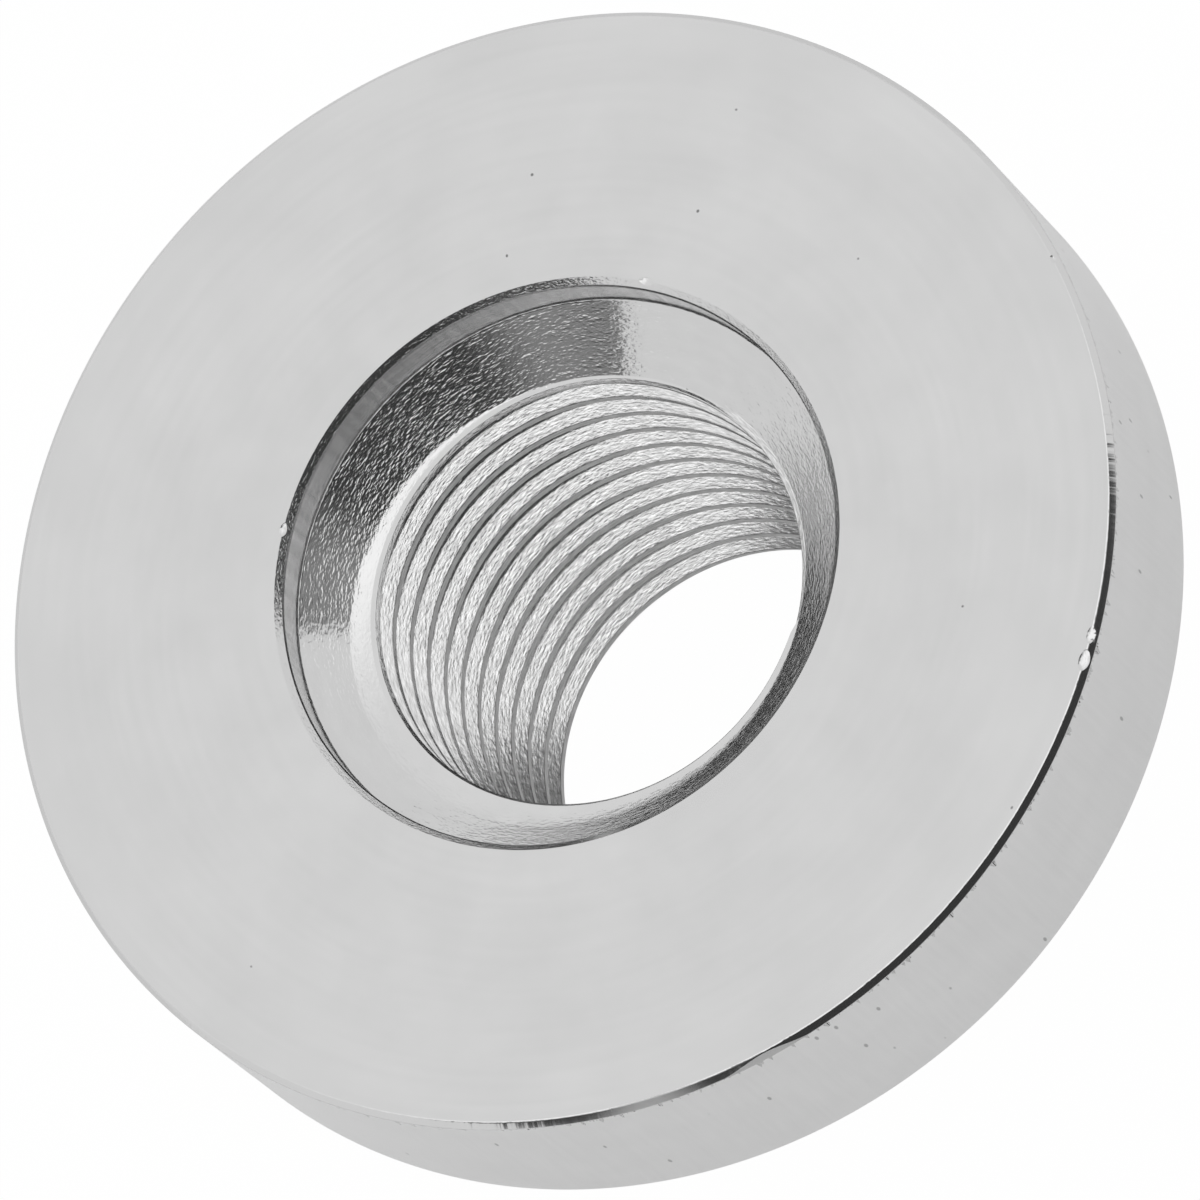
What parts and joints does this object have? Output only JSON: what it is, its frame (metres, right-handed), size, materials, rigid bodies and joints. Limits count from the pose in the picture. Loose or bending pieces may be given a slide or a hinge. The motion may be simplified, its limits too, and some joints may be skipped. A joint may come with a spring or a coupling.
{
  "type": "hex weld nut",
  "caption": "Hex weld nut: a thick round weld flange on a hexagon body, with a recessed, countersunk fine-thread hole right through it.",
  "frame": {"origin": "on the thread's axis at the hexagon end, which the nut stands on", "axes": "+Z along the thread's axis towards the flange's face; flats of the hexagon face +Y and -Y"},
  "size_m": [0.038, 0.038, 0.02],
  "materials": {
    "plated_steel": "bright zinc-plated, finely turned"
  },
  "bodies": {
    "root": {"nut_body": "plated_steel"}
  },
  "joints": []
}
